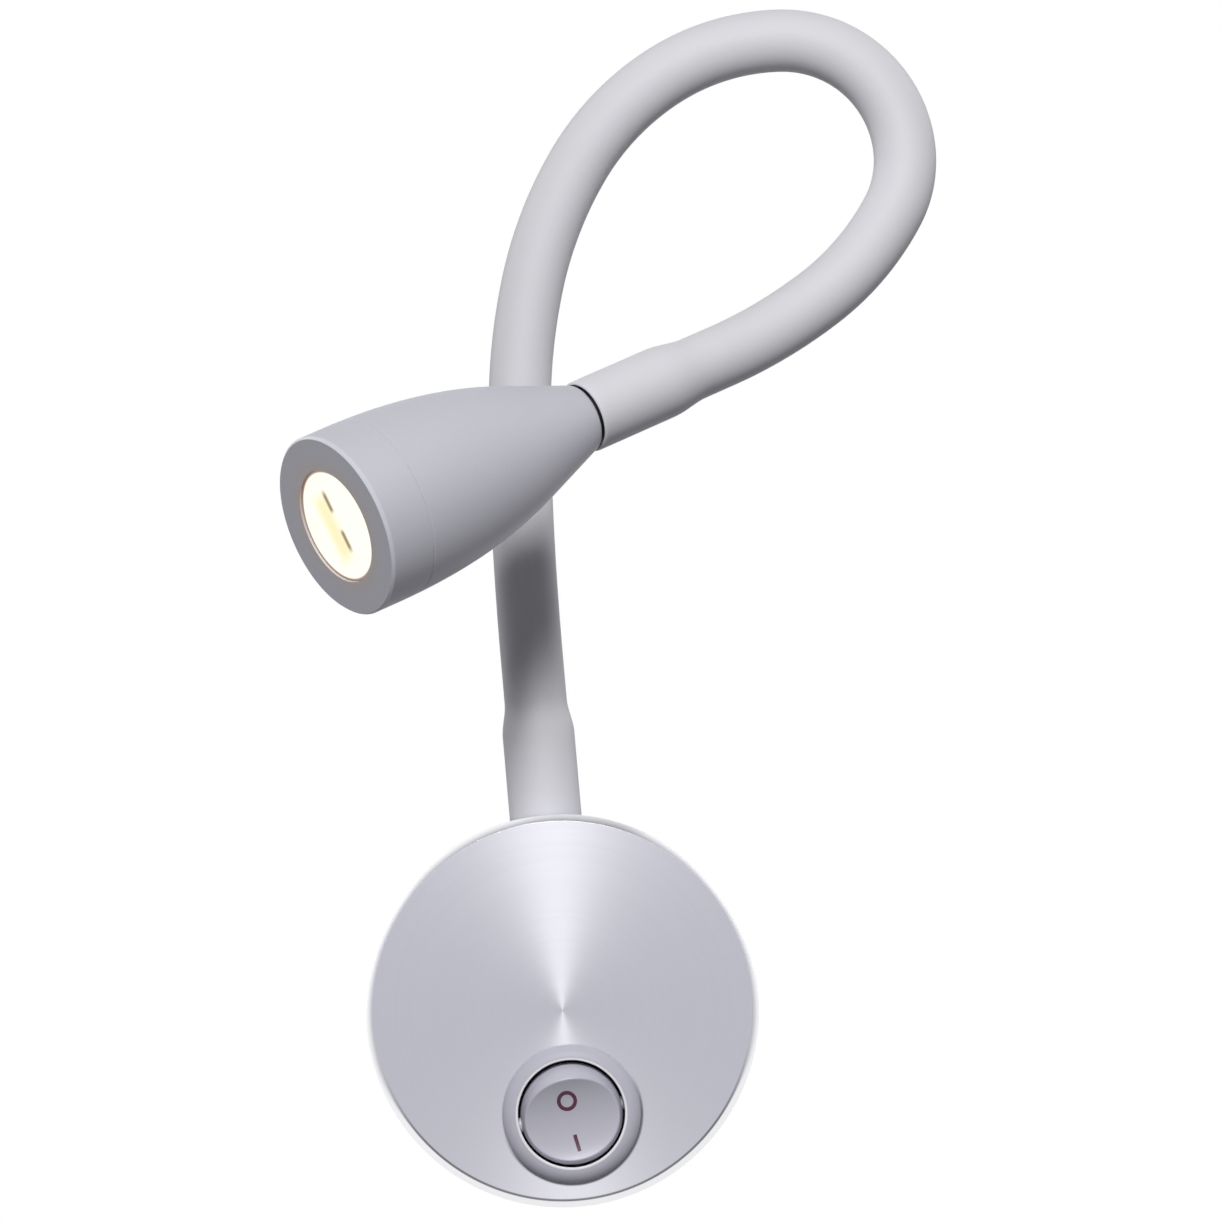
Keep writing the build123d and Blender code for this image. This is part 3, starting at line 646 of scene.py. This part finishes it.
def start_tube(station, radius, sides):
    """A ring across a station, left in edit mode with its points selected."""
    start_clean()
    bpy.ops.mesh.primitive_circle_add(vertices=sides, radius=radius)
    tube = bpy.context.object
    tube.matrix_world = station
    bpy.ops.object.transform_apply(location=True, rotation=True, scale=True)
    bpy.ops.object.mode_set(mode="EDIT")
    bpy.ops.mesh.select_all(action="SELECT")
    return tube


def run_profile(station, profile):
    """Extrude the selected ring through a profile of places along a station's axis and radii."""
    for (start, before), (end, after) in zip(profile, profile[1:]):
        step = station.to_3x3() @ Vector((0, 0, end - start))
        bpy.ops.mesh.extrude_region_move(TRANSFORM_OT_translate={"value": step})
        centre = along_axis(station, end).translation
        bpy.ops.transform.resize(value=(after / before,) * 3, center_override=centre)


def even_profile(start, end, radius, steps):
    """Outline of a straight tube with evenly spaced rings."""
    return [(start + (end - start) * step / steps, radius) for step in range(steps + 1)]


def cuff_profile(arm, start, cuff, taper, length):
    """Outline of a straight end of the sleeve, from its open end: lip, cuff, taper and plain sleeve."""
    lip_steps = 4
    cuff_steps = 12
    taper_steps = 14
    plain_steps = 14
    profile = []
    for step in range(lip_steps + 1):
        bow = pi / 2 * step / lip_steps
        rise = arm.cuff_lip * (1 - cos(bow))
        profile.append((start + rise, arm.cuff_radius - arm.cuff_lip * (1 - sin(bow))))
    profile.extend(even_profile(start + arm.cuff_lip, cuff, arm.cuff_radius, cuff_steps)[1:])
    for step in range(1, taper_steps + 1):
        part = step / taper_steps
        drop = (arm.cuff_radius - arm.radius) * part * part * (3 - 2 * part)
        profile.append((cuff + taper * part, arm.cuff_radius - drop))
    profile.extend(even_profile(cuff + taper, length, arm.radius, plain_steps)[1:])
    return profile


def bent_tube(arm, number, rings, foot_profile, neck_profile):
    """A tube over one hinge of the arm, with its outline at the canopy or the head, left in edit mode."""
    stations, bends = arm_line(arm)
    check_line(stations)
    arcs = [arc for arc in (2 * number - 1, 2 * number) if 0 <= arc < len(bends)]
    if number == 0:
        foot = arm_foot()
        start, radius = foot_profile[0]
        tube = start_tube(along_axis(foot, start), radius, arm.sides)
        run_profile(foot, foot_profile)
    else:
        tube = start_tube(stations[arcs[0]], foot_profile[-1][1], arm.sides)
    for arc in arcs:
        centre, axis = bends[arc]
        bpy.ops.mesh.spin(steps=rings, angle=arm.turns[arc], center=centre, axis=-axis)
    if number == LAST_BEND:
        run_profile(stations[-1], neck_profile)
    return tube


def bend_with_arm(arm, number, tube, strand):
    """Bake a tube's place into its mesh, and hide the CAD strand pieces that it stands for."""
    hinge = arm_line(arm)[0][2 * number]
    reach = hinge.to_3x3() @ Vector((0, 0, arm.bend_reach))
    start = hinge.translation - reach
    end = hinge.translation + reach
    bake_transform(tube)
    if number == 0:
        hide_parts(f"{strand}_foot")
    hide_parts(f"{strand}_neck" if number == LAST_BEND else f"{strand}_{number + 1}")


def end_tube(tube, name, material, wall):
    """Close a tube: merge doubles, turn its faces outwards, give it a wall and smooth it."""
    bpy.ops.mesh.select_all(action="SELECT")
    bpy.ops.mesh.remove_doubles(threshold=MERGE_DISTANCE)
    bpy.ops.mesh.normals_make_consistent(inside=False)
    bpy.ops.object.mode_set(mode="OBJECT")
    settle(tube, name, material)
    finish_with(tube, "SOLIDIFY", thickness=wall, offset=-1.0)
    bpy.ops.object.shade_smooth_by_angle(angle=SMOOTH_ANGLE)


# Steps
class LAMP_OT_sleeve(Operator):
    """Model the silicone sleeve, one curved piece over each hinge of the arm"""

    bl_idname = "lamp.sleeve"
    bl_label = "Gooseneck sleeve"

    def execute(self, context):
        lamp = context.scene.reading_lamp
        arm = lamp.arm
        silicone = soft_silicone(lamp.finishes)
        foot_profile = cuff_profile(arm, 0.0, arm.foot_cuff, arm.foot_taper, foot_length())
        neck_end = cuff_profile(arm, arm.neck_gap, arm.neck_cuff, arm.neck_taper, arm.neck_length)
        neck_profile = [(arm.neck_length - rise, radius) for rise, radius in reversed(neck_end)]
        for number in range(len(ARM_JOINTS)):
            tube = bent_tube(arm, number, arm.sleeve_rings, foot_profile, neck_profile)
            end_tube(tube, f"sleeve_bend_{number + 1}", silicone, arm.wall)
            bend_with_arm(arm, number, tube, "sleeve")
        return {"FINISHED"}


class LAMP_OT_canopy(Operator):
    """Give the canopy its spun finish, and the pieces behind it theirs"""

    bl_idname = "lamp.canopy"
    bl_label = "Canopy"

    def execute(self, context):
        finishes = context.scene.reading_lamp.finishes
        dress(spun_aluminium(finishes), "canopy_shell")
        dress(plated("zinc_steel", (0.55, 0.56, 0.58)), "wall_plate", "earth_screw")
        dress(plated("black_steel", (0.08, 0.08, 0.085), 0.35), "set_screws")
        dress(moulded("black_rubber", (0.02, 0.02, 0.022), 0.6), "cable_grommet")
        dress(moulded("white_moulding", (0.72, 0.71, 0.68)), "terminal_block", "driver_tray")
        dress(plated("brass", (0.75, 0.58, 0.28)), "terminal_screws")
        dress(moulded("board_green", (0.02, 0.16, 0.07)), "driver_board")
        dress(moulded("transformer_tape", (0.75, 0.55, 0.1)), "driver_transformer")
        dress(moulded("capacitor_sleeve", (0.03, 0.03, 0.035)), "driver_capacitor")
        return {"FINISHED"}


class LAMP_OT_switch(Operator):
    """Give the switch its plastics and contacts"""

    bl_idname = "lamp.switch"
    bl_label = "Switch"

    def execute(self, context):
        lamp = context.scene.reading_lamp
        finishes = lamp.finishes
        dress(switch_bezel(finishes, lamp.switch.hole_radius), "switch_housing")
        dress(moulded("switch_rocker", finishes.switch, 0.36), "switch_rocker")
        dress(moulded("plunger_white", (0.7, 0.7, 0.68)), "switch_plunger")
        dress(plated("contact_brass", (0.72, 0.55, 0.3)), "contact_lever", "switch_terminals")
        return {"FINISHED"}


class LAMP_OT_marks(Operator):
    """Print the ring and the bar on the rocker's scooped face"""

    bl_idname = "lamp.marks"
    bl_label = "Switch marks"

    def execute(self, context):
        lamp = context.scene.reading_lamp
        marks = lamp.switch
        ring_points = 72
        bar_cuts = 20
        ink = moulded("rocker_print", lamp.finishes.ink, 0.4)
        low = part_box("switch_rocker")[0]
        pivot = Vector(JOINTS["rocker_tip"]["pos_m"])
        front = Vector((pivot.x, low.y - marks.ring_radius, pivot.z))

        start_clean()
        bpy.ops.mesh.primitive_circle_add(vertices=ring_points, radius=marks.ring_radius, fill_type="NGON")
        ring = bpy.context.object
        ring.location = front + Vector(marks.ring_middle)
        ring.rotation_euler.x = pi / 2
        bpy.ops.object.mode_set(mode="EDIT")
        bpy.ops.mesh.select_all(action="SELECT")
        bpy.ops.mesh.inset(thickness=marks.stroke / 2)
        bpy.ops.mesh.inset(thickness=marks.stroke / 2)
        bpy.ops.mesh.delete(type="FACE")
        bpy.ops.object.mode_set(mode="OBJECT")
        self.lay(ring, "rocker_ring", ink, marks.film)

        start_clean()
        run = Vector(marks.bar_top) - Vector(marks.bar_foot)
        bpy.ops.mesh.primitive_plane_add(size=1)
        bar = bpy.context.object
        bar.scale = (marks.stroke, run.length, 1)
        bar.location = front + (Vector(marks.bar_top) + Vector(marks.bar_foot)) / 2
        across = Vector((0, 1, 0)).cross(run.normalized())
        bar.rotation_euler = Matrix((across, run.normalized(), Vector((0, -1, 0)))).transposed().to_euler()
        bpy.ops.object.mode_set(mode="EDIT")
        bpy.ops.mesh.select_all(action="SELECT")
        bpy.ops.mesh.subdivide(number_cuts=bar_cuts)
        bpy.ops.object.mode_set(mode="OBJECT")
        self.lay(bar, "rocker_bar", ink, marks.film)
        return {"FINISHED"}

    def lay(self, mark, name, ink, film):
        """Lay a flat mark on the rocker, give it its thickness and let it ride."""
        settle(mark, name, ink)
        finish_with(
            mark,
            "SHRINKWRAP",
            target=frame["nodes"]["switch_rocker"],
            wrap_method="PROJECT",
            use_project_y=True,
            use_positive_direction=True,
            use_negative_direction=False,
        )
        bpy.ops.object.mode_set(mode="EDIT")
        bpy.ops.mesh.select_all(action="SELECT")
        bpy.ops.mesh.normals_make_consistent(inside=False)
        bpy.ops.object.mode_set(mode="OBJECT")
        finish_with(mark, "SOLIDIFY", thickness=film, offset=0.0)
        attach(mark, "rocker")


class LAMP_OT_core(Operator):
    """Model the wound core inside the sleeve, and finish the lead and the ferrules"""

    bl_idname = "lamp.core"
    bl_label = "Core and ferrules"

    def execute(self, context):
        arm = context.scene.reading_lamp.arm
        steel = plated("wound_steel", (0.5, 0.5, 0.52))
        radius = arm.radius - arm.wall - arm.core_gap
        foot_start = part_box("gooseneck_foot")[0].z - arm_foot().translation.z
        neck_end = reach_along("gooseneck_neck", arm_line(arm)[0][-1])
        foot_profile = even_profile(foot_start, foot_length(), radius, arm.core_rings)
        neck_profile = even_profile(0.0, neck_end, radius, arm.core_rings)
        for number in range(len(ARM_JOINTS)):
            tube = bent_tube(arm, number, arm.core_rings, foot_profile, neck_profile)
            self.groove(tube, arm)
            end_tube(tube, f"core_bend_{number + 1}", steel, arm.core_wall)
            bend_with_arm(arm, number, tube, "gooseneck")
        lengths = ["foot", "neck", *[str(number) for number in range(1, len(ARM_JOINTS))]]
        dress(moulded("lead_sheath", (0.6, 0.6, 0.6)), *[f"lead_{length}" for length in lengths])
        fixings = [f"{end}_{piece}" for end in ("lower", "upper") for piece in ("ferrule", "washer", "nut")]
        dress(plated("burnished_steel", (0.14, 0.14, 0.15), 0.25), *fixings)
        return {"FINISHED"}

    def groove(self, tube, arm):
        """Sink every second ring of a tube, which makes the turns of the winding."""
        bpy.ops.mesh.select_all(action="SELECT")
        bpy.ops.mesh.normals_make_consistent(inside=False)
        bpy.ops.mesh.select_all(action="DESELECT")
        bpy.ops.object.mode_set(mode="OBJECT")
        for corner in tube.data.vertices:
            corner.select = corner.index // arm.sides % 2 == 1
        bpy.ops.object.mode_set(mode="EDIT")
        bpy.ops.transform.shrink_fatten(value=-arm.core_groove)


class LAMP_OT_head(Operator):
    """Give the head its satin coat, its light engine its finishes and its lens its light"""

    bl_idname = "lamp.head"
    bl_label = "Head"

    def execute(self, context):
        lamp = context.scene.reading_lamp
        stations = arm_line(lamp.arm)[0]
        rear = along_axis(stations[-1], lamp.arm.neck_length)
        axis = (rear.to_3x3() @ Vector((0, 0, 1))).normalized()
        face = along_axis(rear, reach_along("head_bezel", rear)).translation
        lens_radius = self.front_radius("led_lens", face, axis)
        head_radius = self.front_radius("head_bezel", face, axis)
        dress(satin_coat(lamp.finishes, face, axis, lens_radius, head_radius), "head_shell", "head_bezel")
        dress(lit_lens(lamp.finishes, face, axis, lens_radius), "led_lens")
        dress(plated("heat_slug", (0.6, 0.6, 0.62)), "heat_slug", "board_screws")
        dress(moulded("pad_grey", (0.3, 0.3, 0.32)), "thermal_pad")
        dress(moulded("board_white", (0.8, 0.8, 0.8)), "led_board", "lens_holder")
        dress(moulded("emitter", (0.9, 0.75, 0.2)), "led_emitter")
        dress(moulded("gasket", (0.03, 0.03, 0.03), 0.6), "lens_gasket")
        return {"FINISHED"}

    def front_radius(self, node, face, axis):
        """Radius of a node just behind the head's face."""
        depth = 0.0012
        found = 0.0
        for corner in frame["nodes"][node].data.vertices:
            offset = corner.co - face
            if offset.dot(axis) > -depth:
                found = max(found, (offset - axis * offset.dot(axis)).length)
        return found


class LAMP_OT_stage(Operator):
    """Set up the floor, the lights, the white surroundings and the camera"""

    bl_idname = "lamp.stage"
    bl_label = "Studio"

    def execute(self, context):
        studio = context.scene.reading_lamp.studio
        start_clean()
        bpy.ops.mesh.primitive_plane_add(size=studio.floor_size, location=(0, 0, studio.floor_height))
        floor = bpy.context.object
        settle(floor, "floor", self.pale_floor(studio))
        key = (studio.key_side, studio.key_height, studio.key_distance)
        self.softbox("key", Vector(studio.target), key, studio.key_size, studio.key_power)
        for name, side in (("back_left", -studio.back_side), ("back_right", studio.back_side)):
            back = (side, studio.back_height, studio.back_distance)
            self.softbox(name, Vector(studio.target), back, studio.back_size, studio.back_power)
        self.surroundings(context, studio)
        self.camera(context, studio)
        context.scene.view_settings.view_transform = "Standard"
        return {"FINISHED"}

    def shown(self, recipe, *outputs):
        """1 for rays that show the surroundings themselves."""
        rays = [recipe.node("ShaderNodeLightPath", output=output) for output in outputs]
        found = rays[0]
        for ray in rays[1:]:
            found = found.most(ray)
        return found

    def pale_floor(self, studio):
        """Matt pale floor that metal and glass see as white."""
        finish = Finish("pale_floor", roughness=0.8)
        grain = finish.noise(finish.place(), scale=300.0)
        pale = finish.mix(grain, shade(studio.floor, 0.99), studio.floor)
        finish.set("Base Color", finish.mix(self.shown(finish, "Is Camera Ray"), studio.bounce, pale))
        white = finish.node("ShaderNodeEmission", {}, {"Color": (1, 1, 1, 1), "Strength": 1.0})
        lit = Socket(finish, finish.shader.outputs[0])
        mirrored = self.shown(finish, "Is Glossy Ray", "Is Transmission Ray")
        straight = studio.floor_white * self.shown(finish, "Is Camera Ray")
        seen = mirrored.most(straight)
        finish.show(finish.node("ShaderNodeMixShader", {}, {0: seen, 1: lit, 2: white}))
        return finish.material

    def softbox(self, name, target, direction, side, power):
        """A square soft light that faces the lamp."""
        round_lamp, height, distance = direction
        outwards = Vector((sin(round_lamp) * cos(height), -cos(round_lamp) * cos(height), sin(height)))
        bpy.ops.object.light_add(type="AREA", location=target + outwards * distance)
        light = bpy.context.object
        light.name = name
        light.rotation_euler = outwards.to_track_quat("Z", "Y").to_euler()
        light.data.shape = "SQUARE"
        light.data.size = side
        light.data.energy = power

    def surroundings(self, context, studio):
        """White to the camera, to metal and to glass, and a softer even light on the lamp."""
        world = bpy.data.worlds.new("studio")
        world.use_nodes = True
        world.node_tree.nodes.clear()
        context.scene.world = world
        recipe = Recipe(world.node_tree)
        even = recipe.node("ShaderNodeBackground", {}, {"Color": rgba(studio.ambient), "Strength": 1.0})
        white = recipe.node("ShaderNodeBackground", {}, {"Color": (1, 1, 1, 1), "Strength": 1.0})
        seen = self.shown(recipe, "Is Camera Ray", "Is Glossy Ray", "Is Transmission Ray")
        mixed = recipe.node("ShaderNodeMixShader", {}, {0: seen, 1: even, 2: white})
        recipe.node("ShaderNodeOutputWorld", {}, {"Surface": mixed})

    def camera(self, context, studio):
        """Camera at the photograph's place."""
        forward = (Vector(studio.target) - Vector(studio.camera)).normalized()
        level = forward.cross(Vector((0, 0, 1))).normalized()
        upright = level.cross(forward)
        right = level * cos(studio.roll) - upright * sin(studio.roll)
        up = level * sin(studio.roll) + upright * cos(studio.roll)
        bpy.ops.object.camera_add()
        camera = bpy.context.object
        camera.data.lens = studio.focal_length
        turn = Matrix((right, up, -forward)).transposed()
        camera.matrix_world = Matrix.Translation(studio.camera) @ turn.to_4x4()
        context.scene.camera = camera


STEPS = (
    LAMP_OT_sleeve,
    LAMP_OT_canopy,
    LAMP_OT_switch,
    LAMP_OT_marks,
    LAMP_OT_core,
    LAMP_OT_head,
    LAMP_OT_stage,
)


class LAMP_PT_panel(Panel):
    """Lists the lamp's steps in the sidebar"""

    bl_idname = "LAMP_PT_panel"
    bl_label = "Reading lamp"
    bl_space_type = "VIEW_3D"
    bl_region_type = "UI"
    bl_category = "Reading lamp"

    def draw(self, context):
        for step in STEPS:
            self.layout.operator(step.bl_idname)


CLASSES = (ArmSizes, SwitchSizes, Finishes, StudioSettings, LampSettings, *STEPS, LAMP_PT_panel)


def register():
    for kind in CLASSES:
        bpy.utils.register_class(kind)
    bpy.types.Scene.reading_lamp = PointerProperty(type=LampSettings)


def unregister():
    del bpy.types.Scene.reading_lamp
    for kind in reversed(CLASSES):
        bpy.utils.unregister_class(kind)


def main():
    register()
    bpy.ops.lamp.sleeve()
    bpy.ops.lamp.canopy()
    bpy.ops.lamp.switch()
    bpy.ops.lamp.marks()
    bpy.ops.lamp.core()
    bpy.ops.lamp.head()
    bpy.ops.lamp.stage()


if __name__ == "__main__":
    main()
